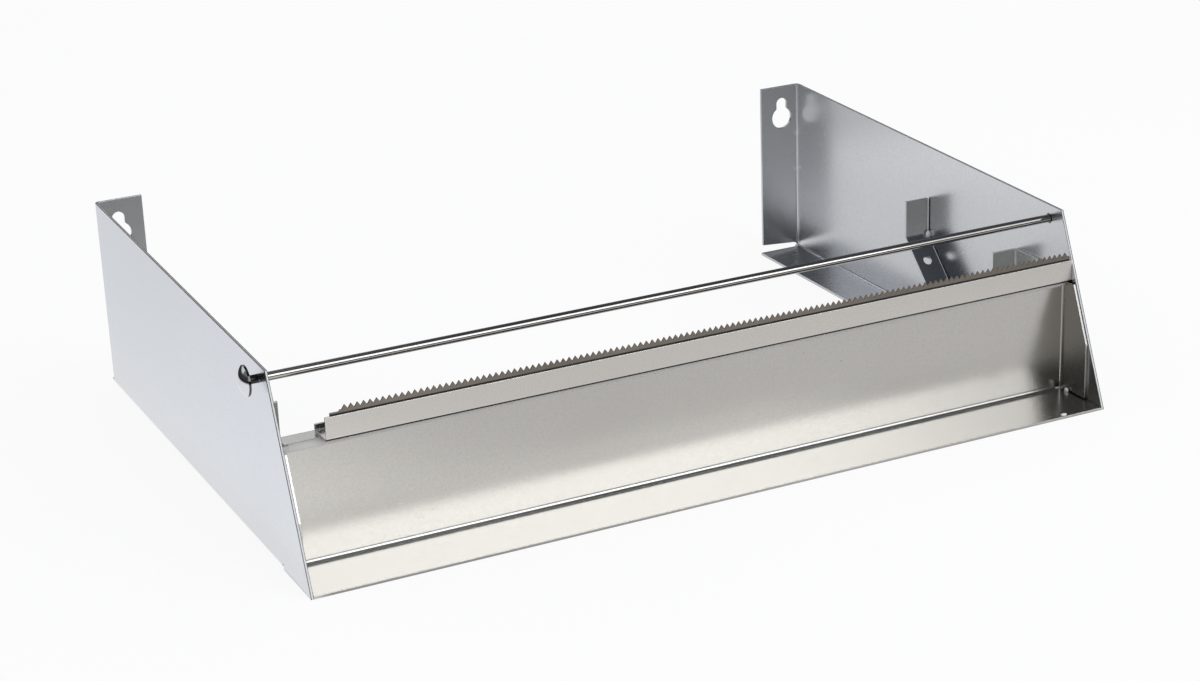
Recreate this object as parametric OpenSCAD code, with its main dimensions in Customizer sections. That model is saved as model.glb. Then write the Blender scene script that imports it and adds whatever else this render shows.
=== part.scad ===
// Wall-hung foil dispenser: two folded side panels are joined by a folded front panel, which carries
// the holder of a serrated blade. The roll lies between sloped cradles and upright stops, and the
// foil runs under a guide rod that draws out to the left by its knob.
// The origin lies on the wall, midway between the two keyholes. The front faces -Y and +Z is up.

/* [Side panels] */
// Width over the outer faces of the side panels
outer_w = 470; // [330:1:620]
// Depth from the wall to the front bottom edge
depth = 335; // [290:1:420]
// Height of a side panel at the wall
back_h = 112; // [108:1:160]
// Height of a side panel at its upper front corner
front_h = 105; // [103:1:150]
// How far the upper front corner is set back from the front bottom edge
front_setback = 43; // [20:1:46]
// Sheet thickness of the panels, cradles and stops
sheet = 1.5; // [1:0.1:2]
// Inside radius of the folds in that sheet
fold_r = 1.5; // [1:0.1:2.5]
// Width of the flange folded in along a panel's bottom edge, over the panel
bottom_flange_w = 30; // [22:1:45]
// Gap between the wall and the rear edge of the bottom flange
flange_rear_gap = 2.5; // [1:0.5:5]

/* [Wall fixing] */
// Width of the flange folded in at the wall, over the panel
wall_flange_w = 28; // [26:1:45]
// Height of the wall flange's lower edge beside its fold
flange_toe_h = 4; // [3:0.5:8]
// Height of the wall flange's lower edge at its free end
flange_tip_h = 6; // [3:0.5:10]
// Distance from a panel's outer face to its keyhole
keyhole_inset = 13; // [12:0.5:16]
// Distance from a panel's top edge at the wall down to the middle of the keyhole's round end
keyhole_drop = 21; // [18:1:50]
// Diameter of the keyhole's round end, which a screw head passes
keyhole_d = 14; // [10:0.5:16]
// Width of the keyhole's slot
keyhole_slot_w = 7.5; // [5:0.5:8]
// Rise from the round end's centre to the centre of the slot's end
keyhole_rise = 9.5; // [8:0.5:12]

/* [Front panel] */
// Depth of the tray floor in front of the face
tray_depth = 36.5; // [30:0.5:42]
// Height of the shelf on top of the face
shelf_h = 66; // [50:1:70]
// Depth of the shelf, from the front of the face
shelf_depth = 13.5; // [10:0.5:16]
// Inside radius of the fold between the tray floor and the face
tray_fold_r = 2.5; // [1.5:0.1:3]
// Radius of the shelf's rear corners
shelf_corner_r = 3; // [1:0.5:5]
// Distance from a side panel to the ends of the shelf
shelf_end_gap = 4.3; // [2:0.1:5]
// Distance from a side panel to the ends of the folds above and below the face
fold_end_gap = 6; // [5:0.5:10]
// How far an end flange reaches in front of the face, below its knee
end_flange_reach = 22; // [12:0.5:24]
// How far an end flange reaches in front of the face at its top
end_flange_top_reach = 9; // [4:0.1:10]
// Height of the knee in an end flange's front edge
end_flange_knee_h = 34; // [20:1:45]
// Open seam between an end flange and the tray floor
seam_gap = 0.8; // [0.3:0.1:1]

/* [Blade] */
// Thickness of the blade holder's sheet
holder_sheet = 1; // [0.8:0.1:1.5]
// Inside radius of the blade holder's folds
holder_fold_r = 0.8; // [0.5:0.1:1.5]
// Depth of the blade holder over both walls
holder_depth = 17; // [14:0.5:17]
// How far the blade holder overhangs the face
holder_overhang = 5; // [2:0.5:6]
// Height of the blade holder's front wall
holder_h = 13; // [10:0.5:16]
// Height of the blade holder's rear lip
holder_lip_h = 4; // [3:0.5:6]
// Distance from the left side panel to the blade holder
holder_inset = 23.5; // [10:0.5:40]
// Thickness of the blade
blade_t = 0.8; // [0.6:0.1:1.2]
// Height of the tooth tips above the holder's front wall
blade_rise = 4.6; // [3:0.1:8]
// Height of a tooth
tooth_h = 2.4; // [1.5:0.1:3]
// Distance from tooth to tooth
tooth_pitch = 3.4; // [2.5:0.1:5]
// Distance from the holder's left end to the blade's left end
blade_inset = 3; // [1:0.5:6]
// Distance from the right side panel to the blade's right end
blade_end_gap = 1; // [0.5:0.5:3]
// Width of the plain tab at the blade's left end
blade_tab_w = 5; // [3:0.5:10]
// Drop of that tab below the tooth roots
blade_tab_drop = 0.8; // [0.4:0.1:2]

/* [Roll cradles] */
// Distance from a side panel to a cradle's free edge
cradle_w = 16; // [12:0.5:24]
// Gap between a side panel and the cradle's other edge
cradle_gap = 1; // [0.5:0.1:2]
// Distance from the front bottom edge to the back of the cradle's upright tab
cradle_y = 178; // [165:1:200]
// Height of the upright tab's top
cradle_top_h = 76.5; // [66:0.5:90]
// Height at which the cradle folds into its slope
cradle_fold_h = 53.4; // [45:0.1:58]
// Angle of the slope above the level
cradle_slope = 45; // [40:1:55]
// Length of the foot on the bottom flange
cradle_foot = 10; // [6:0.5:14]
// Diameter of the hole in the slope
cradle_hole_d = 5.5; // [4:0.5:6.5]
// Distance from the upper fold to that hole, along the slope
cradle_hole_run = 18; // [12:0.5:30]

/* [Roll stops] */
// Width of a stop's tab
stop_w = 17; // [12:0.5:24]
// Distance from the front bottom edge to the back of the stop's tab
stop_y = 85; // [80:0.5:95]
// Height of the stop's top
stop_h = 71; // [50:1:85]
// Length of the stop's side plate, which is fixed to the side panel
stop_side_l = 28; // [15:0.5:29]

/* [Guide rod] */
// Diameter of the guide rod
rod_d = 4.5; // [3:0.5:5]
// Distance from the front bottom edge to the rod's axis
rod_y = 54; // [50:0.5:60]
// Height of the rod's axis
rod_h = 97.5; // [92:0.5:98]
// Running clearance all round the rod in the left panel and in the knob
rod_clearance = 0.05; // [0.03:0.01:0.1]
// Clearance all round the rod in the right panel
rod_end_clearance = 0.5; // [0.2:0.1:0.8]
// How far the rod stands out of the right panel
rod_overhang = 2; // [1:0.5:6]
// Length of the chamfer on the rod's right end
rod_chamfer = 0.5; // [0.2:0.1:1]
// Gap between the left panel and the knob
knob_gap = 6; // [3:0.5:10]
// Diameter of the knob
knob_d = 16; // [12:0.5:18]
// Thickness of the knob's straight rim
knob_rim = 1.2; // [0.8:0.1:2]
// Height of the knob's dome
knob_dome = 3.2; // [2.6:0.1:5]
// Depth of the blind bore that the rod turns in
knob_bore = 3.2; // [2:0.1:3.6]
// End play of the rod in that bore
knob_end_play = 0.2; // [0.1:0.1:0.3]

/* [Hidden] */
$fn = 64;
inner_w = outer_w - 2 * sheet;
fold_out = fold_r + sheet;
keyhole_h = back_h - keyhole_drop;
overrun = sheet;
fold_steps = 6;
face_back = tray_depth + sheet;
bottom_flange_front = face_back + seam_gap;
holder_front = tray_depth - holder_overhang;
holder_top = shelf_h + holder_h;
blade_x = holder_inset + blade_inset;
blade_l = inner_w - blade_x - blade_end_gap;
blade_bottom = shelf_h + holder_sheet + holder_fold_r;
tooth_root = holder_top + blade_rise - tooth_h;
toothed_l = blade_l - blade_tab_w;
tooth_count = floor(toothed_l / tooth_pitch);
first_tip = blade_tab_w + (toothed_l - (tooth_count - 1) * tooth_pitch) / 2;
cradle_slope_l = (cradle_fold_h - sheet) / sin(cradle_slope);
cradle_toe_y = cradle_y - (cradle_fold_h - sheet) / tan(cradle_slope);
knob_back = outer_w / 2 + knob_gap;
rod_left = knob_back + knob_bore - knob_end_play;
rod_right = outer_w / 2 + rod_overhang;
dome_r = (pow(knob_d / 2, 2) + pow(knob_dome, 2)) / (2 * knob_dome);

// Distance from a fold's corner to the flat beside it, on the face that the strip is drawn from
function set_back(turn, t, r) = (turn > 0 ? r + t : r) * tan(abs(turn) / 2);

// Section of one fold, about its own centre: a left turn is positive
module fold_section(turn, t, r) {
    start = turn > 0 ? -90 : 90 + turn;
    reach = 2 * (r + t);
    intersection() {
        difference() {
            circle(r = r + t);
            circle(r = r);
        }
        polygon([
            [0, 0],
            reach * [cos(start), sin(start)],
            reach * [cos(start + abs(turn) / 2), sin(start + abs(turn) / 2)],
            reach * [cos(start + abs(turn)), sin(start + abs(turn))]
        ]);
    }
}

// Section of a folded strip that starts along +X: each leg is its length from corner to corner and
// the turn after it, and the sheet lies on the left of the line
module folded_section(legs, t, r, i = 0) {
    before = i == 0 ? 0 : set_back(legs[i - 1][1], t, r);
    turn = legs[i][1];
    flat = legs[i][0] - before - set_back(turn, t, r);
    centre = turn > 0 ? r + t : -r;
    square([flat, t]);
    if (i + 1 < len(legs)) {
        translate([flat, centre]) {
            fold_section(turn, t, r);
            rotate(turn)
                translate([0, -centre])
                    folded_section(legs, t, r, i + 1);
        }
    }
}

// One face of a strip with folds at any angle, as points: away is 0 on the face that the legs are
// measured on, and the sheet's thickness on the other
function strip_face(legs, away, t, r, at = [0, 0], heading = 0, i = 0) =
    let (
        along = [cos(heading), sin(heading)],
        across = [-sin(heading), cos(heading)],
        before = i == 0 ? 0 : set_back(legs[i - 1][1], t, r),
        turn = legs[i][1],
        end = at + (legs[i][0] - before - set_back(turn, t, r)) * along,
        centre = end + (turn > 0 ? r + t : -r) * across,
        spoke = end + away * across - centre
    )
    i + 1 == len(legs)
    ? [at + away * across, end + away * across]
    : concat(
        [at + away * across],
        [for (step = [0 : fold_steps - 1]) centre + turned(spoke, turn * step / fold_steps)],
        strip_face(legs, away, t, r, centre + turned(end - centre, turn), heading + turn, i + 1)
    );

function turned(v, angle) = [
    v[0] * cos(angle) - v[1] * sin(angle),
    v[0] * sin(angle) + v[1] * cos(angle)
];

// Section of a strip with folds at any angle
module strip_section(legs, t, r) {
    far_face = strip_face(legs, t, t, r);
    last = len(far_face) - 1;
    polygon(concat(
        strip_face(legs, 0, t, r),
        [for (i = [0 : last]) far_face[last - i]]
    ));
}

// Extrudes a section, drawn with the depth as X and the height as Y, along the width
module along_width(from, to) {
    translate([from, 0, 0])
        rotate([90, 0, 90])
            linear_extrude(to - from)
                children();
}

// Places what is drawn from the left panel's outer face, the front bottom edge and the bottom
module from_left_corner() {
    translate([-outer_w / 2, -depth, -keyhole_h])
        children();
}

module from_right_corner() {
    mirror([1, 0, 0])
        from_left_corner()
            children();
}

// The plate of a side panel, without its flanges
module panel_plate() {
    along_width(0, sheet)
        polygon([
            [0, 0],
            [front_setback, front_h],
            [depth - fold_out, back_h],
            [depth - fold_out, fold_out],
            [bottom_flange_front, fold_out],
            [bottom_flange_front, 0]
        ]);
}

module bottom_flange() {
    fold_front = bottom_flange_front + fold_r;
    translate([0, depth, 0])
        rotate([90, 0, 0])
            linear_extrude(depth - fold_front)
                translate([fold_out, fold_out])
                    rotate(-90)
                        fold_section(90, sheet, fold_r);
    translate([fold_out, fold_front, 0])
        cube([bottom_flange_w - fold_out, depth - flange_rear_gap - fold_front, sheet]);
}

module wall_flange() {
    translate([fold_out, depth - fold_out, fold_out])
        linear_extrude(back_h - fold_out)
            rotate(180)
                fold_section(90, sheet, fold_r);
    translate([0, depth, 0])
        rotate([90, 0, 0])
            linear_extrude(sheet)
                polygon([
                    [fold_out, flange_toe_h],
                    [wall_flange_w, flange_tip_h],
                    [wall_flange_w, back_h],
                    [fold_out, back_h]
                ]);
}

module keyhole_cut() {
    translate([keyhole_inset, depth + overrun, keyhole_h])
        rotate([90, 0, 0])
            linear_extrude(sheet + 2 * overrun) {
                circle(d = keyhole_d);
                translate([-keyhole_slot_w / 2, 0])
                    square([keyhole_slot_w, keyhole_rise]);
                translate([0, keyhole_rise])
                    circle(d = keyhole_slot_w);
            }
}

// A side panel as seen on the left, with a hole for the guide rod
module side_panel(rod_hole_d) {
    difference() {
        union() {
            panel_plate();
            bottom_flange();
            wall_flange();
        }
        keyhole_cut();
        translate([-overrun, rod_y, rod_h])
            rotate([0, 90, 0])
                cylinder(d = rod_hole_d, h = sheet + 2 * overrun);
    }
}

module left_side_panel() {
    color("lightsteelblue")
        from_left_corner()
            side_panel(rod_d + 2 * rod_clearance);
}

module right_side_panel() {
    color("lightsteelblue")
        from_right_corner()
            side_panel(rod_d + 2 * rod_end_clearance);
}

// The end flange that the face folds forward into, at the left end of the front panel
module end_flange() {
    upright_bottom = sheet + seam_gap;
    upright_h = shelf_h - upright_bottom;
    flange_edge = tray_depth - fold_r;
    along_width(0, sheet)
        polygon([
            [tray_depth - end_flange_reach, upright_bottom],
            [tray_depth - end_flange_reach, end_flange_knee_h],
            [tray_depth - end_flange_top_reach, shelf_h],
            [flange_edge, shelf_h],
            [flange_edge, upright_bottom]
        ]);
    translate([fold_out, flange_edge, upright_bottom])
        linear_extrude(upright_h)
            rotate(180)
                fold_section(90, sheet, fold_r);
    translate([fold_out, tray_depth, upright_bottom])
        cube([fold_end_gap - fold_out, sheet, upright_h]);
}

module shelf_corner_cut() {
    translate([shelf_end_gap, tray_depth + shelf_depth, shelf_h - sheet - overrun])
        linear_extrude(sheet + 2 * overrun)
            difference() {
                translate([-overrun, -shelf_corner_r])
                    square([shelf_corner_r + overrun, shelf_corner_r + overrun]);
                translate([shelf_corner_r, -shelf_corner_r])
                    circle(r = shelf_corner_r);
            }
}

// The left half's ends of the front panel, mirrored for the right
module both_ends() {
    children();
    translate([inner_w, 0, 0])
        mirror([1, 0, 0])
            children();
}

// Section of the front panel between its ends
module front_section() {
    middle = shelf_h / 2;
    folded_section([[face_back, 90], [middle, 0]], sheet, tray_fold_r);
    translate([face_back, middle])
        rotate(90)
            folded_section([[middle - sheet, -90], [shelf_depth - sheet, 0]], sheet, fold_r);
}

module front_panel() {
    color("gainsboro")
        from_left_corner()
            translate([sheet, 0, 0]) {
                difference() {
                    union() {
                        along_width(fold_end_gap, inner_w - fold_end_gap)
                            front_section();
                        translate([shelf_end_gap, tray_depth + fold_out, shelf_h - sheet])
                            cube([inner_w - 2 * shelf_end_gap, shelf_depth - fold_out, sheet]);
                    }
                    both_ends()
                        shelf_corner_cut();
                }
                both_ends() {
                    cube([fold_end_gap, face_back, sheet]);
                    end_flange();
                }
            }
}

// A channel that stands on the shelf and overhangs the face
module blade_holder() {
    color("silver")
        from_left_corner()
            translate([sheet, holder_front, shelf_h])
                along_width(holder_inset, inner_w)
                    translate([0, holder_h])
                        rotate(-90)
                            folded_section(
                                [[holder_h, 90], [holder_depth, 90], [holder_lip_h, 0]],
                                holder_sheet, holder_fold_r
                            );
}

module serrated_blade() {
    teeth = [
        for (i = [0 : tooth_count - 1])
            let (tip = first_tip + i * tooth_pitch)
                each [
                    [tip - tooth_pitch / 2, tooth_root],
                    [tip, tooth_root + tooth_h]
                ]
    ];
    last_root = first_tip + (tooth_count - 0.5) * tooth_pitch;
    color("rosybrown")
        from_left_corner()
            translate([sheet + blade_x, holder_front + holder_sheet + blade_t, 0])
                rotate([90, 0, 0])
                    linear_extrude(blade_t)
                        polygon(concat(
                            [
                                [0, blade_bottom],
                                [0, tooth_root - blade_tab_drop],
                                [blade_tab_w, tooth_root - blade_tab_drop],
                                [blade_tab_w, tooth_root]
                            ],
                            teeth,
                            [
                                [last_root, tooth_root],
                                [blade_l, tooth_root],
                                [blade_l, blade_bottom]
                            ]
                        ));
}

// Cut out of what stands on a bottom flange, for the flange's fold
module fold_relief() {
    translate([sheet - overrun, 0, sheet - overrun])
        cube([fold_r + overrun, depth, fold_r + overrun]);
}

// A strip that rises from a foot on the bottom flange, first at a slope and then upright
module roll_cradle() {
    difference() {
        translate([0, 0, sheet])
            along_width(sheet + cradle_gap, sheet + cradle_w)
                translate([cradle_toe_y - cradle_foot, 0])
                    strip_section(
                        [
                            [cradle_foot, cradle_slope],
                            [cradle_slope_l, 90 - cradle_slope],
                            [cradle_top_h - cradle_fold_h, 0]
                        ],
                        sheet, fold_r
                    );
        translate([sheet + (cradle_gap + cradle_w) / 2, cradle_y, cradle_fold_h])
            rotate([cradle_slope, 0, 0])
                translate([0, -cradle_hole_run, -overrun])
                    cylinder(d = cradle_hole_d, h = sheet + 2 * overrun);
        fold_relief();
    }
}

module left_roll_cradle() {
    color("darkgray")
        from_left_corner()
            roll_cradle();
}

module right_roll_cradle() {
    color("darkgray")
        from_right_corner()
            roll_cradle();
}

// An upright angle that stands on the bottom flange, with its side plate flat on the panel
module roll_stop() {
    difference() {
        translate([sheet + stop_w, stop_y, sheet])
            linear_extrude(stop_h - sheet)
                rotate(180)
                    folded_section([[stop_w, 90], [stop_side_l, 0]], sheet, fold_r);
        fold_relief();
    }
}

module left_roll_stop() {
    color("gray")
        from_left_corner()
            roll_stop();
}

module right_roll_stop() {
    color("gray")
        from_right_corner()
            roll_stop();
}

// Turns what is drawn along +Z to lie on the rod's axis, with Z from the middle towards the left
module on_rod_axis() {
    translate([0, rod_y - depth, rod_h - keyhole_h])
        rotate([0, -90, 0])
            children();
}

module guide_rod() {
    color("dimgray")
        on_rod_axis() {
            translate([0, 0, rod_chamfer - rod_right])
                cylinder(d = rod_d, h = rod_left + rod_right - rod_chamfer);
            translate([0, 0, -rod_right])
                cylinder(d1 = rod_d - 2 * rod_chamfer, d2 = rod_d, h = rod_chamfer);
        }
}

// A domed head with a blind bore for the rod's end
module rod_knob() {
    color("whitesmoke")
        on_rod_axis()
            translate([0, 0, knob_back])
                difference() {
                    rotate_extrude() {
                        square([knob_d / 2, knob_rim]);
                        translate([0, knob_rim])
                            intersection() {
                                translate([0, knob_dome - dome_r])
                                    circle(r = dome_r);
                                square([knob_d / 2, knob_dome]);
                            }
                    }
                    translate([0, 0, -overrun])
                        cylinder(d = rod_d + 2 * rod_clearance, h = knob_bore + overrun);
                }
}

left_side_panel();
right_side_panel();
front_panel();
blade_holder();
serrated_blade();
left_roll_cradle();
right_roll_cradle();
left_roll_stop();
right_roll_stop();
guide_rod();
rod_knob();
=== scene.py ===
import math
from collections import namedtuple

import bmesh
import bpy
from mathutils import Matrix, Vector, noise


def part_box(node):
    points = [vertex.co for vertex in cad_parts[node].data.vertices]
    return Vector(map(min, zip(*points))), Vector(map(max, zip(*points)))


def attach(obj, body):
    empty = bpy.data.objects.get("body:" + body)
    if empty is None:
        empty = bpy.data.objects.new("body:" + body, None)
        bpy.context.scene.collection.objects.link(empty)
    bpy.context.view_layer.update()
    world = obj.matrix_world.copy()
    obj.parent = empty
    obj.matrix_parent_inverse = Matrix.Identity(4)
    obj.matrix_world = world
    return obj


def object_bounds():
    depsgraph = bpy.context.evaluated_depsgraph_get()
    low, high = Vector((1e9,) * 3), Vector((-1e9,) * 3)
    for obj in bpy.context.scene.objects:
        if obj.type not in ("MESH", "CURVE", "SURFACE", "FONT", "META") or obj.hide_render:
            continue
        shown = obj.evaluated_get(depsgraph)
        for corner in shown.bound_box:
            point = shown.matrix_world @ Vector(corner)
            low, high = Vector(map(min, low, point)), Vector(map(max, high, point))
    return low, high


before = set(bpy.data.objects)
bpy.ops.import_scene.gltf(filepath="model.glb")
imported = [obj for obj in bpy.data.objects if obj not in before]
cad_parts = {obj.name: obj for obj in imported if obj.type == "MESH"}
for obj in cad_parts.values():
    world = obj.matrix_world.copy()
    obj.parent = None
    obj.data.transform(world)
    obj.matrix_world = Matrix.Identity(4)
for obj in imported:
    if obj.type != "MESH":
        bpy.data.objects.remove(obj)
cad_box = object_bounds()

scene = bpy.context.scene
scene.view_settings.view_transform = "Standard"

# Lengths on the object are in millimetres, and those of the studio are in metres. SHEET is the
# thickness of the panels' sheet.
MM = 0.001
SHEET = 1.5
X_AXIS, Y_AXIS, Z_AXIS = range(3)


def box_mm(node):
    """A node's lowest and highest corners at rest, in millimetres."""
    return [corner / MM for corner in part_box(node)]


# Places that the finishes and the welds share. Panels, cradles and stops have a twin across x = 0.
PANEL_LOW, PANEL_HIGH = box_mm("right_side_panel")
CRADLE_LOW, CRADLE_HIGH = box_mm("right_roll_cradle")
HOLDER_LOW, HOLDER_HIGH = box_mm("blade_holder")
OUTER_FACE = PANEL_HIGH.x
INNER_FACE = OUTER_FACE - SHEET
FRONT = PANEL_LOW.y
BOTTOM = PANEL_LOW.z
CRADLE_BEND = CRADLE_LOW.z + 52


def both_sides(x, y, z):
    """A place on the right side and its twin on the left."""
    return [(x, y, z), (-x, y, z)]


# Camera

def make_camera():
    """The photograph's viewpoint, worked out from the corners and edges of the panels."""
    photo_width_px = 1200
    focal_px = 2616.63
    place = Vector((-598.57, -1430.02, 469.95)) * MM
    heading = math.radians(25.571)
    tilt = math.radians(-20.679)
    roll = math.radians(-2.160)
    turn = Matrix.Rotation(-heading, 4, "Z")
    turn @= Matrix.Rotation(math.pi / 2 + tilt, 4, "X")
    turn @= Matrix.Rotation(roll, 4, "Z")

    data = bpy.data.cameras.new("camera")
    data.sensor_fit = "HORIZONTAL"
    data.sensor_width = 36.0
    data.lens = focal_px / photo_width_px * data.sensor_width
    data.clip_start = 0.05
    data.clip_end = 50.0
    camera = bpy.data.objects.new("camera", data)
    camera.matrix_world = Matrix.Translation(place) @ turn
    scene.collection.objects.link(camera)
    scene.camera = camera


# Node trees

class Graph:
    """Short calls for building a node tree."""

    def __init__(self, tree):
        self.tree = tree
        self.tree.nodes.clear()

    def add(self, kind, **values):
        node = self.tree.nodes.new(kind)
        for key, value in values.items():
            setattr(node, key, value)
        return node

    def link(self, output, socket):
        self.tree.links.new(output, socket)

    def feed(self, socket, value):
        """Link another node's output, or set a plain value on the socket itself."""
        if isinstance(value, bpy.types.NodeSocket):
            self.link(value, socket)
        else:
            socket.default_value = value

    def math(self, operation, a, b=0.0, clamp=False):
        node = self.add("ShaderNodeMath", operation=operation, use_clamp=clamp)
        self.feed(node.inputs[0], a)
        self.feed(node.inputs[1], b)
        return node.outputs[0]

    def product(self, first, *others):
        for other in others:
            first = self.math("MULTIPLY", first, other)
        return first

    def largest(self, first, *others):
        for other in others:
            first = self.math("MAXIMUM", first, other)
        return first

    def measure(self, operation, a, b=(0, 0, 0)):
        """A number worked out from vectors, such as a distance or a length."""
        node = self.add("ShaderNodeVectorMath", operation=operation)
        self.feed(node.inputs[0], a)
        self.feed(node.inputs[1], b)
        return node.outputs["Value"]

    def parts(self, vector):
        """The x, y and z of a vector."""
        node = self.add("ShaderNodeSeparateXYZ")
        self.link(vector, node.inputs[0])
        return node.outputs

    def remap(self, value, start, end, first, last, smooth=False):
        """Goes from first to last as the value goes from start to end, and stays there."""
        node = self.add("ShaderNodeMapRange", clamp=True)
        if smooth:
            node.interpolation_type = "SMOOTHSTEP"
        for socket, number in zip(node.inputs, (value, start, end, first, last)):
            self.feed(socket, number)
        return node.outputs[0]

    def rise(self, value, start, end, smooth=False):
        return self.remap(value, start, end, 0.0, 1.0, smooth)

    def fall(self, value, start, end, smooth=False):
        return self.remap(value, start, end, 1.0, 0.0, smooth)

    def mix(self, share, a, b, blend="MIX"):
        node = self.add("ShaderNodeMix", data_type="RGBA", blend_type=blend)
        self.feed(node.inputs[0], share)
        self.feed(node.inputs[6], a)
        self.feed(node.inputs[7], b)
        return node.outputs[2]

    def noise(self, place, scale, detail, rough=0.5, distortion=0.0):
        node = self.add("ShaderNodeTexNoise")
        self.link(place, node.inputs["Vector"])
        node.inputs["Scale"].default_value = scale
        node.inputs["Detail"].default_value = detail
        node.inputs["Roughness"].default_value = rough
        node.inputs["Distortion"].default_value = distortion
        return node.outputs["Fac"]

    def stretch(self, place, scale):
        node = self.add("ShaderNodeMapping")
        node.inputs["Scale"].default_value = scale
        self.link(place, node.inputs["Vector"])
        return node.outputs["Vector"]

    def ramp(self, value, stops):
        """A colour ramp through stops, each a position and a colour."""
        node = self.add("ShaderNodeValToRGB")
        elements = node.color_ramp.elements
        while len(elements) < len(stops):
            elements.new(0.5)
        for element, (position, colour) in zip(elements, stops):
            element.position = position
            element.color = (*colour, 1.0)
        self.link(value, node.inputs[0])
        return node.outputs[0]


def grey(level, warm=0.0):
    """A neutral colour of that level, or one a few percent warmer or cooler."""
    return (level * (1 + warm), level, level * (1 - warm))


def times(colour, share):
    """A colour made darker or brighter, up to white."""
    return tuple(min(1.0, channel * share) for channel in colour)


# Metals

# A round mark on the metal: its place and radius, its colour and how strong it is.
Spot = namedtuple("Spot", "place radius shade strength")

# The faces further out than so many millimetres from x = 0: those that face sideways, such as
# a flange's, or all the others, such as the cut edges of a panel or the side of a rod.
End = namedtuple("End", "beyond sideways shade rougher")

# A line along a joint or a fold, seen from the side: a point on it, its slant in degrees, half
# its width, the heights that it lies between, and its colour. It mirrors less by rougher.
Seam = namedtuple("Seam", "y z slant half_width lowest highest shade rougher")


class Metal:
    """A bare metal in the making. Each step changes its colour, its roughness and its mirroring,
    which is how metallic it is."""

    def __init__(self, name, dark, light, metallic):
        self.dark = dark
        self.light = light
        self.mirroring = metallic
        self.material = bpy.data.materials.new(name)
        self.material.use_nodes = True
        self.graph = g = Graph(self.material.node_tree)
        self.shader = g.add("ShaderNodeBsdfPrincipled")
        g.link(self.shader.outputs[0], g.add("ShaderNodeOutputMaterial").inputs[0])
        self.place = g.add("ShaderNodeTexCoord").outputs["Object"]
        self.x, self.y, self.z = g.parts(self.place)
        self.off_middle = g.math("ABSOLUTE", self.x)
        self.normal = g.add("ShaderNodeNewGeometry").outputs["Normal"]
        # 1 on the panels' inner faces and on all that lies between them, 0 on their outer faces
        self.inside = g.fall(self.off_middle, (INNER_FACE + 0.4) * MM, (INNER_FACE + 0.8) * MM)

    def lay(self, mask, shade, rougher=0.0, duller=0.0):
        """Lays a shade over the colour where the mask is 1, there rougher and less metallic."""
        g = self.graph
        self.colour = g.mix(mask, self.colour, (*shade, 1))
        if rougher:
            self.roughness = g.math("ADD", self.roughness, g.product(mask, rougher), clamp=True)
        if duller:
            self.mirroring = g.math("SUBTRACT", self.mirroring, g.product(mask, duller), clamp=True)

    def tone(self, cloud, grain, rough):
        """A cloudy tone with fine grain, faint handling marks and a few dark specks."""
        g = self.graph
        clouds = g.noise(self.place, scale=cloud, detail=4.0, rough=0.55)
        self.grain = g.noise(g.stretch(self.place, grain), scale=22.0, detail=3.0, rough=0.65)
        clear = g.mix(g.rise(clouds, 0.3, 0.7, smooth=True), (*self.dark, 1), (*self.light, 1))
        dim = g.mix(0.5, clear, (*times(self.dark, 0.86), 1))
        self.colour = g.mix(g.rise(self.grain, 0.25, 0.75), clear, dim)
        specks = g.noise(self.place, scale=420.0, detail=2.0)
        self.lay(g.remap(specks, 0.80, 0.84, 0.0, 0.5), times(self.dark, 0.55))

        lengthwise = g.stretch(self.place, (9.0, 130.0, 60.0))
        marks = g.noise(lengthwise, scale=6.0, detail=2.0, rough=0.6, distortion=0.4)
        uneven = g.product(g.math("SUBTRACT", self.grain, 0.5), 0.10)
        rubbed = g.product(g.rise(marks, 0.66, 0.76), 0.05)
        self.roughness = g.remap(clouds, 0.3, 0.7, *rough)
        self.roughness = g.math("ADD", self.roughness, uneven)
        self.roughness = g.math("ADD", self.roughness, rubbed)

    def spot(self, spot):
        """A round mark that fades out over the outer two thirds of its radius."""
        g = self.graph
        away = g.measure("DISTANCE", self.place, tuple(Vector(spot.place) * MM))
        reach = spot.radius * MM
        mark = g.remap(away, 0.35 * reach, reach, spot.strength, 0.0, smooth=True)
        self.lay(g.product(mark, self.inside), spot.shade)

    def wear_and_highlight(self, brightness, radius, matt):
        """Rounded edges in the light tone times brightness: rubbing, and a painted highlight where the
        brightness is over 1. matt is how far they scatter light instead of mirroring it."""
        g = self.graph
        rounded = g.add("ShaderNodeBevel", samples=6)
        rounded.inputs["Radius"].default_value = radius * MM
        self.rounded = rounded.outputs[0]
        sameness = g.measure("DOT_PRODUCT", self.rounded, self.normal)
        # rubbed edges with a painted highlight laid over them where brightness is over 1
        worn_and_lit = g.rise(sameness, 0.985, 0.80, smooth=True)
        self.lay(worn_and_lit, times(self.light, brightness), rougher=-0.04, duller=matt)

    def end(self, end):
        """The end faces or cut edges that the entry describes, on both sides."""
        g = self.graph
        margin = 0.1
        mask = g.rise(self.off_middle, (end.beyond - margin) * MM, (end.beyond + margin) * MM)
        across = g.math("ABSOLUTE", g.parts(self.normal)[0])
        turned = g.rise(across, 0.2, 0.4) if end.sideways else g.fall(across, 0.2, 0.4)
        self.lay(g.product(mask, turned), end.shade, rougher=end.rougher)

    def seam(self, seam):
        """A soft-edged line along a joint or fold, on the inner side of the panels."""
        g = self.graph
        slant = math.radians(seam.slant)
        half = seam.half_width * MM
        from_y = g.math("SUBTRACT", self.y, seam.y * MM)
        from_z = g.math("SUBTRACT", self.z, seam.z * MM)
        aside = g.math("SUBTRACT", g.product(from_y, math.sin(slant)), g.product(from_z, math.cos(slant)))
        line = g.fall(g.math("ABSOLUTE", aside), 0.6 * half, half, smooth=True)
        above = g.rise(self.z, seam.lowest * MM, (seam.lowest + 1) * MM)
        below = g.fall(self.z, (seam.highest - 1) * MM, seam.highest * MM)
        mask = g.product(line, above, below, self.inside)
        self.lay(mask, seam.shade, rougher=seam.rougher, duller=seam.rougher)

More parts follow.
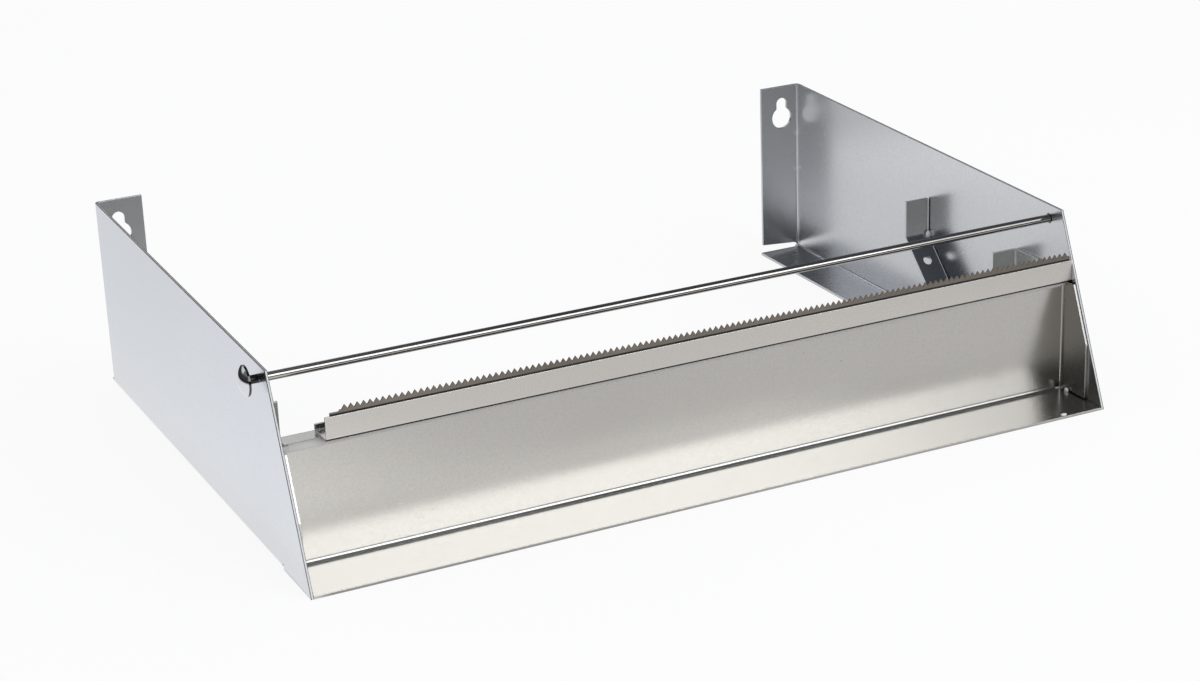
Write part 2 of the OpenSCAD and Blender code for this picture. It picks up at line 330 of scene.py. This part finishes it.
    def foot(self, y, z):
        """A painted shadow line below the height z, in front of y."""
        g = self.graph
        # a dark tone painted where a fold or ledge shades the metal
        shadow_tone = (0.07, 0.068, 0.062)
        low = g.fall(self.z, (z - 0.3) * MM, z * MM)
        ahead = g.fall(self.y, (y - 0.2) * MM, y * MM)
        self.lay(g.product(low, ahead), shadow_tone, rougher=0.2)

    def crevice_shade(self, left):
        """Painted shade that darkens tight corners and gaps, where shade falls. left is how much of the
        tone is left in them.
        """
        g = self.graph
        near = g.add("ShaderNodeAmbientOcclusion", samples=6)
        near.inputs["Distance"].default_value = 3.5 * MM
        open_to_light = g.remap(near.outputs["AO"], 0.30, 0.72, left, 1.0, smooth=True)
        # painted shade in tight corners and gaps
        self.colour = g.mix(1.0, self.colour, open_to_light, "MULTIPLY")

    def relief(self, grain_height, swell_height):
        """The relief of the grain and of the sheet's slight waviness, in millimetres, laid over
        the rounded edges."""
        g = self.graph
        waves = g.noise(self.place, scale=16.0, detail=2.0)
        height = g.math("ADD", g.product(self.grain, grain_height), g.product(waves, swell_height))
        bump = g.add("ShaderNodeBump")
        bump.inputs["Strength"].default_value = 1.0
        bump.inputs["Distance"].default_value = MM
        g.link(height, bump.inputs["Height"])
        g.link(self.rounded, bump.inputs["Normal"])
        g.link(bump.outputs[0], self.shader.inputs["Normal"])

    def finish(self):
        g = self.graph
        g.link(self.colour, self.shader.inputs["Base Color"])
        g.link(self.roughness, self.shader.inputs["Roughness"])
        g.feed(self.shader.inputs["Metallic"], self.mirroring)
        return self.material


def metal(name, dark, light, rough, cloud, grain, grain_height, edge, edge_radius, crevice,
          swell_height=0.0, edge_matt=0.0, spots=(), ends=(), seams=(), foot=None, metallic=1.0):
    """Bare metal between two tones, with all the marks that are given.

    rough: its lowest and highest roughness; cloud, grain: how fine its clouds are, and its grain
    along x, y and z; grain_height, swell_height: the relief of the grain and of the sheet; edge,
    edge_radius, edge_matt: the brightness, radius and mattness of its rubbed edges, where a
    brightness over 1 is a painted highlight; crevice: how much of the tone the painted shade in
    tight corners leaves; foot: the y and z of its painted shadow line."""
    made = Metal(name, dark, light, metallic)
    made.tone(cloud, grain, rough)
    for spot in spots:
        made.spot(spot)
    made.wear_and_highlight(edge, edge_radius, edge_matt)
    for end in ends:
        made.end(end)
    for seam in seams:
        made.seam(seam)
    if foot:
        made.foot(*foot)
    made.crevice_shade(crevice)
    made.relief(grain_height, swell_height)
    return made.finish()


def panel_steel():
    """The side panels: satin sheet with a painted shadow line along each cradle, bright and dark lines
    along the cut edges, two pale spots on each wall flange and a painted dark reflection beside the tray."""
    pale = (0.80, 0.80, 0.80)
    dark_reflection = (0.22, 0.225, 0.22)
    cradle_shadow = (0.05, 0.05, 0.055)
    sheared = (0.16, 0.16, 0.165)
    broken = (0.93, 0.93, 0.93)
    flange_face = PANEL_HIGH.y - SHEET
    upper_spots = both_sides(INNER_FACE - 1.6, flange_face, PANEL_HIGH.z - 32.3)
    lower_spots = both_sides(INNER_FACE - 1.8, flange_face, PANEL_HIGH.z - 56.8)
    beside_tray = both_sides(INNER_FACE, FRONT + 13, BOTTOM + 19)
    spots = [Spot(place, radius=2.2, shade=pale, strength=0.8) for place in upper_spots]
    spots += [Spot(place, radius=1.8, shade=pale, strength=0.8) for place in lower_spots]
    # painted dark reflection on the panels' inner faces beside the tray
    spots += [Spot(place, radius=30, shade=dark_reflection, strength=0.75) for place in beside_tray]
    cut_edges = [
        End(INNER_FACE - 0.2, sideways=False, shade=sheared, rougher=0.28),
        End(INNER_FACE + 0.25, sideways=False, shade=broken, rougher=0.1),
        End(OUTER_FACE - 0.4, sideways=False, shade=sheared, rougher=0.0),
    ]
    # painted shadow along the gap beside each cradle
    line = {"y": CRADLE_HIGH.y - 2.3, "half_width": 1.0, "shade": cradle_shadow, "rougher": 0.2}
    along_cradle = [
        Seam(z=0, slant=90, lowest=CRADLE_BEND, highest=CRADLE_HIGH.z, **line),
        Seam(z=CRADLE_BEND - 0.4, slant=45, lowest=BOTTOM + 2, highest=CRADLE_BEND - 0.5, **line),
    ]
    return metal("steel_panel", (0.655, 0.668, 0.695), (0.70, 0.715, 0.74), rough=(0.21, 0.27),
                 cloud=5.0, grain=(40, 40, 40), grain_height=0.004, swell_height=0.02,
                 edge=1.15, edge_radius=0.45, crevice=0.30,
                 spots=spots, ends=cut_edges, seams=along_cradle)


def front_steel():
    """The front panel: warmer sheet with heat-stained rear corners of the tray, painted shade on the end
    flanges and a matt fold along the shelf."""
    straw = (0.46, 0.36, 0.24)
    flange_shade = (0.30, 0.292, 0.268)
    matt_fold = (0.62, 0.61, 0.59)
    shelf = HOLDER_LOW.z
    corners = both_sides(INNER_FACE - 2.5, FRONT + 30, BOTTOM + 2)
    spots = [Spot(place, radius=7, shade=straw, strength=0.4) for place in corners]
    # painted shade on the end flanges' faces
    end_flange = End(INNER_FACE - SHEET - 0.8, sideways=True, shade=flange_shade, rougher=0.02)
    shelf_fold = Seam(y=FRONT + 37.4, z=shelf - 0.9, slant=135, half_width=2.6,
                      lowest=shelf - 5, highest=shelf + 2, shade=matt_fold, rougher=0.75)
    return metal("steel_front", (0.655, 0.635, 0.602), (0.705, 0.685, 0.65), rough=(0.20, 0.26),
                 cloud=6.0, grain=(52, 52, 52), grain_height=0.014, swell_height=0.015,
                 edge=1.2, edge_radius=0.5, crevice=0.75,
                 spots=spots, ends=[end_flange], seams=[shelf_fold])


def strip_steel():
    """The blade holder: pale sheet, with matt edges that carry a painted highlight, and a painted
    shadow line along its lower front fold.
    """
    return metal("steel_strip", (0.785, 0.755, 0.715), (0.835, 0.805, 0.765), rough=(0.24, 0.31),
                 cloud=8.0, grain=(50, 50, 50), grain_height=0.006, swell_height=0.02,
                 edge=1.35, edge_radius=0.55, edge_matt=0.85, crevice=0.6,
                 # painted shadow line under the holder's front fold
                 foot=(HOLDER_LOW.y + 1.6, HOLDER_LOW.z + 1.5))


def cradle_steel():
    """The roll cradles: sheet with dark edges, and a painted shadow on the edge that meets the panel."""
    black = (0.05, 0.05, 0.055)
    # painted shadow of the gap between cradle and panel
    beside_panel = End(CRADLE_HIGH.x - 0.2, sideways=True, shade=black, rougher=0.2)
    return metal("steel_cradle", (0.58, 0.60, 0.62), (0.64, 0.66, 0.68), rough=(0.20, 0.27),
                 cloud=9.0, grain=(45, 45, 45), grain_height=0.008, swell_height=0.03,
                 edge=0.8, edge_radius=0.45, crevice=0.35, ends=[beside_panel])


def stop_steel():
    """The roll stops: sheet with bright, rather matt edges, whose brightness is partly rubbing and
    partly a painted highlight.
    """
    return metal("steel_stop", (0.66, 0.68, 0.69), (0.72, 0.74, 0.75), rough=(0.20, 0.27),
                 cloud=9.0, grain=(45, 45, 45), grain_height=0.008, swell_height=0.03,
                 edge=1.35, edge_radius=0.45, edge_matt=0.6, crevice=0.35)


def blade_steel():
    """The blade: brownish steel drawn lengthwise, with a painted shadow where it leaves the holder."""
    return metal("steel_blade", (0.25, 0.22, 0.185), (0.36, 0.32, 0.28), rough=(0.30, 0.42),
                 cloud=14.0, grain=(8, 70, 70), grain_height=0.03,
                 edge=1.3, edge_radius=0.2, crevice=0.4,
                 # painted shadow at the blade's foot in the holder
                 foot=(HOLDER_LOW.y + 3.5, HOLDER_HIGH.z + 0.9))


def rod_steel():
    """The guide rod: polished lengthwise, with a painted dark reflection on the neck between panel and
    knob.
    """
    neck_reflection = (0.05, 0.048, 0.045)
    # painted dark reflection on the neck
    neck = End(OUTER_FACE + 0.2, sideways=False, shade=neck_reflection, rougher=0.15)
    return metal("steel_rod", (0.50, 0.475, 0.45), (0.60, 0.575, 0.55), rough=(0.07, 0.11),
                 cloud=10.0, grain=(8, 60, 60), grain_height=0.004,
                 edge=1.1, edge_radius=0.25, crevice=0.3, ends=[neck])


def knob_chrome():
    """The knob: chrome, with a painted dark reflection round its rim. It is at the left end, so its back
    is its highest x.
    """
    knob_back = -box_mm("rod_knob")[1].x
    # painted dark reflection round the knob's rim
    rim = End(knob_back - 1, sideways=False, shade=grey(0.10), rougher=0.0)
    return metal("chrome_knob", (0.66, 0.66, 0.67), (0.74, 0.74, 0.75), rough=(0.04, 0.07),
                 cloud=20.0, grain=(30, 30, 30), grain_height=0.002,
                 edge=1.1, edge_radius=0.25, crevice=0.15, ends=[rim])


def weld_metal():
    """The weld tacks: pale, rough and hardly metallic."""
    return metal("steel_weld", (0.86, 0.86, 0.85), (0.95, 0.95, 0.94), rough=(0.30, 0.45),
                 cloud=90.0, grain=(30, 30, 30), grain_height=0.05, swell_height=0.1,
                 edge=1.1, edge_radius=0.2, crevice=0.9, metallic=0.1)


def dress():
    """Each node of the part gets its metal."""
    plan = [
        (panel_steel, ["left_side_panel", "right_side_panel"]),
        (front_steel, ["front_panel"]),
        (strip_steel, ["blade_holder"]),
        (cradle_steel, ["left_roll_cradle", "right_roll_cradle"]),
        (stop_steel, ["left_roll_stop", "right_roll_stop"]),
        (blade_steel, ["serrated_blade"]),
        (rod_steel, ["guide_rod"]),
        (knob_chrome, ["rod_knob"]),
    ]
    for make_metal, nodes in plan:
        material = make_metal()
        for node in nodes:
            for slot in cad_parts[node].material_slots:
                slot.material = material


# Welds

def bead(centre, size, flat_axis, seed):
    """The mesh of a small uneven bead of weld metal, flattened along one axis."""
    flatness = 0.6
    shape = bmesh.new()
    bmesh.ops.create_icosphere(shape, subdivisions=3, radius=1.0)
    for vertex in shape.verts:
        out = vertex.co.normalized()
        lumps = 0.16 * noise.noise(out * 1.7 + Vector((seed, 0, 0)))
        ripples = 0.05 * noise.noise(out * 5 + Vector((0, seed, 0)))
        reach = out * (1 + lumps + ripples) * Vector(size)
        reach[flat_axis] *= flatness
        vertex.co = (Vector(centre) + reach) * MM
    return shape


def make_welds():
    """The tacks at the tray's rear corners, on its front edge and at the cradles' bends."""
    material = weld_metal()
    corner_size = (1.5, 1.6, 1.5)
    edge_size = (1.9, 1.2, 1.1)
    bend_size = (1.9, 2.2, 2.3)
    corners = both_sides(INNER_FACE - 2.5, FRONT + 29.8, BOTTOM + 2.3)
    edge = (INNER_FACE - 24.7, FRONT + 1.4, BOTTOM + 2)
    bends = both_sides(CRADLE_HIGH.x - 0.1, CRADLE_HIGH.y - 2.8, CRADLE_BEND + 0.5)
    tacks = [(place, corner_size, X_AXIS) for place in corners]
    tacks += [(edge, edge_size, Z_AXIS)]
    tacks += [(place, bend_size, Y_AXIS) for place in bends]
    for number, (place, size, flat_axis) in enumerate(tacks):
        name = f"weld_tack_{number + 1}"
        mesh = bpy.data.meshes.new(name)
        shape = bead(place, size, flat_axis, seed=3.1 * number)
        shape.to_mesh(mesh)
        shape.free()
        mesh.shade_smooth()
        mesh.materials.append(material)
        tack = bpy.data.objects.new(name, mesh)
        scene.collection.objects.link(tack)
        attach(tack, "root")


# Studio

def mirrored_table(g, place):
    """What the metal mirrors of the floor, painted: a glowing table with painted light round the
    object and painted shade under the object and behind it on the right."""
    front = FRONT * MM
    side = OUTER_FACE * MM
    x, y, _ = g.parts(place)
    far = g.measure("LENGTH", place)
    # painted light: brighter toward the left and rear, in a strip in front of the object and toward the
    # wall
    toward_right_front = g.math("ADD", x, g.product(y, -0.5))
    level = g.remap(toward_right_front, -0.05, 0.15, 0.98, 0.67, smooth=True)

    strip_in_front = g.remap(y, front - 0.075, front - 0.015, 0.0, 0.95, smooth=True)
    strip_in_front = g.product(strip_in_front, g.fall(y, front, front + 0.01))
    strip_in_front = g.product(strip_in_front, g.remap(x, 0.05, 0.25, 1.0, 0.4, smooth=True))
    toward_wall = g.remap(y, -0.20, -0.10, 0.0, 0.80, smooth=True)
    level = g.largest(level, strip_in_front, toward_wall)

    # painted shade under the object and behind it on the right
    under = g.rise(y, front - 0.025, front + 0.005, smooth=True)
    under = g.product(under, g.fall(y, -0.16, -0.10, smooth=True))
    under = g.product(under, g.fall(g.math("ABSOLUTE", x), side - 0.013, side + 0.001, smooth=True))
    behind = g.product(g.rise(y, 0.18, 0.22, smooth=True), g.rise(x, -0.10, 0.0, smooth=True))
    colour = g.mix(g.largest(under, behind), level, g.remap(x, -0.15, 0.05, 0.36, 0.56))

    cool_front = (1.06, 1.085, 1.12, 1)
    cool_rear = (0.91, 0.928, 0.955, 1)
    tint = g.mix(g.rise(y, -0.28, 0.20), cool_front, cool_rear)
    left_of_object = g.fall(x, -side - 0.025, -side - 0.005)
    colour = g.mix(left_of_object, colour, g.mix(1.0, colour, tint, "MULTIPLY"))
    beyond_table = (0.025, 0.025, 0.03, 1)
    return g.mix(g.rise(far, 0.60, 0.95, smooth=True), colour, beyond_table)


def make_floor():
    """White to the camera apart from the object's shadow; to the metal a glowing table with painted
    light and shade; matt and pale to all other light."""
    half_size = 4.0
    drop = 0.0003
    shadow_share = 0.10
    white = (1, 1, 1, 1)
    shape = bmesh.new()
    bmesh.ops.create_grid(shape, x_segments=4, y_segments=4, size=half_size)
    mesh = bpy.data.meshes.new("floor")
    shape.to_mesh(mesh)
    shape.free()
    floor = bpy.data.objects.new("floor", mesh)
    floor.location = (0, 0, cad_box[0].z - drop)
    scene.collection.objects.link(floor)

    material = bpy.data.materials.new("floor_white")
    material.use_nodes = True
    g = Graph(material.node_tree)
    place = g.add("ShaderNodeTexCoord").outputs["Object"]
    matt = g.add("ShaderNodeBsdfDiffuse")
    clouds = g.noise(place, scale=3.0, detail=2.0)
    g.link(g.ramp(clouds, [(0.3, grey(0.86)), (0.7, grey(0.89))]), matt.inputs[0])
    ray = g.add("ShaderNodeLightPath").outputs
    glow = g.add("ShaderNodeEmission")
    glow.inputs["Strength"].default_value = 1.0
    g.link(g.mix(ray["Is Camera Ray"], mirrored_table(g, place), white), glow.inputs["Color"])
    mirrored = g.largest(ray["Is Glossy Ray"], ray["Is Transmission Ray"])
    seen = g.product(ray["Is Camera Ray"], 1 - shadow_share)
    blend = g.add("ShaderNodeMixShader")
    g.link(g.math("ADD", seen, mirrored), blend.inputs[0])
    g.link(matt.outputs[0], blend.inputs[1])
    g.link(glow.outputs[0], blend.inputs[2])
    g.link(blend.outputs[0], g.add("ShaderNodeOutputMaterial").inputs[0])
    mesh.materials.append(material)


def room_stops(wall_foot, wall, wall_spans, ceiling):
    """Ramp stops from straight down to straight up: the ground, a dark skirting, the wall, the
    ceiling and a light panel overhead. wall_spans: where the wall fades in and out again."""
    foot, low, high, top = wall_spans
    return [(0.0, grey(0.60)), (0.44, grey(0.40)), (0.47, grey(0.04)), (foot, wall_foot), (low, wall),
            (high, wall), (top, ceiling), (0.97, ceiling), (0.988, grey(0.55))]


def make_world():
    """White to the camera, an even light to matt surfaces, and to the metal a dim room with a
    window and a light panel overhead."""
    ambient = (0.72, 0.73, 0.75, 1)
    white = (1, 1, 1, 1)
    world = bpy.data.worlds.new("studio")
    scene.world = world
    world.use_nodes = True
    g = Graph(world.node_tree)
    toward = g.add("ShaderNodeTexCoord").outputs["Generated"]
    x, y, z = g.parts(toward)
    height = g.rise(z, -1.0, 1.0)
    walls = g.ramp(height, room_stops(wall_foot=grey(0.06), wall=grey(0.20), ceiling=(0.07, 0.077, 0.09),
                                      wall_spans=(0.61, 0.66, 0.74, 0.79)))
    window = g.ramp(height, room_stops(wall_foot=grey(0.05), wall=grey(0.84, -0.02),
                                       ceiling=(0.06, 0.066, 0.078), wall_spans=(0.60, 0.65, 0.77, 0.82)))
    bearing = g.math("ARCTAN2", x, y)
    past_left_jamb = g.rise(bearing, math.radians(-66), math.radians(-58), smooth=True)
    before_right_jamb = g.fall(bearing, math.radians(20), math.radians(26), smooth=True)
    room = g.mix(g.product(past_left_jamb, before_right_jamb), walls, window)
    ray = g.add("ShaderNodeLightPath").outputs
    mirrored = g.largest(ray["Is Glossy Ray"], ray["Is Transmission Ray"])
    colour = g.mix(mirrored, ambient, room)
    colour = g.mix(ray["Is Camera Ray"], colour, white)
    back = g.add("ShaderNodeBackground")
    back.inputs["Strength"].default_value = 1.0
    g.link(colour, back.inputs["Color"])
    g.link(back.outputs[0], g.add("ShaderNodeOutputWorld").inputs[0])


def softbox(name, place, width, height, level):
    """A cool rectangular lamp that faces the object. level: how bright its face looks mirrored."""
    aim = Vector((0, -0.2, 0))
    data = bpy.data.lights.new(name, "AREA")
    data.shape = "RECTANGLE"
    data.size = width
    data.size_y = height
    data.energy = level * math.pi * width * height
    data.color = (0.93, 0.965, 1.0)
    lamp = bpy.data.objects.new(name, data)
    lamp.location = place
    lamp.rotation_euler = (aim - Vector(place)).to_track_quat("-Z", "Y").to_euler()
    lamp.visible_camera = False
    scene.collection.objects.link(lamp)


def make_lamps():
    softbox("key", (0.52, -1.9, 0.95), width=1.24, height=1.3, level=2.4)
    softbox("key_side", (1.50, -1.85, 0.90), width=0.66, height=1.2, level=1.15)


make_camera()
dress()
make_welds()
make_floor()
make_world()
make_lamps()
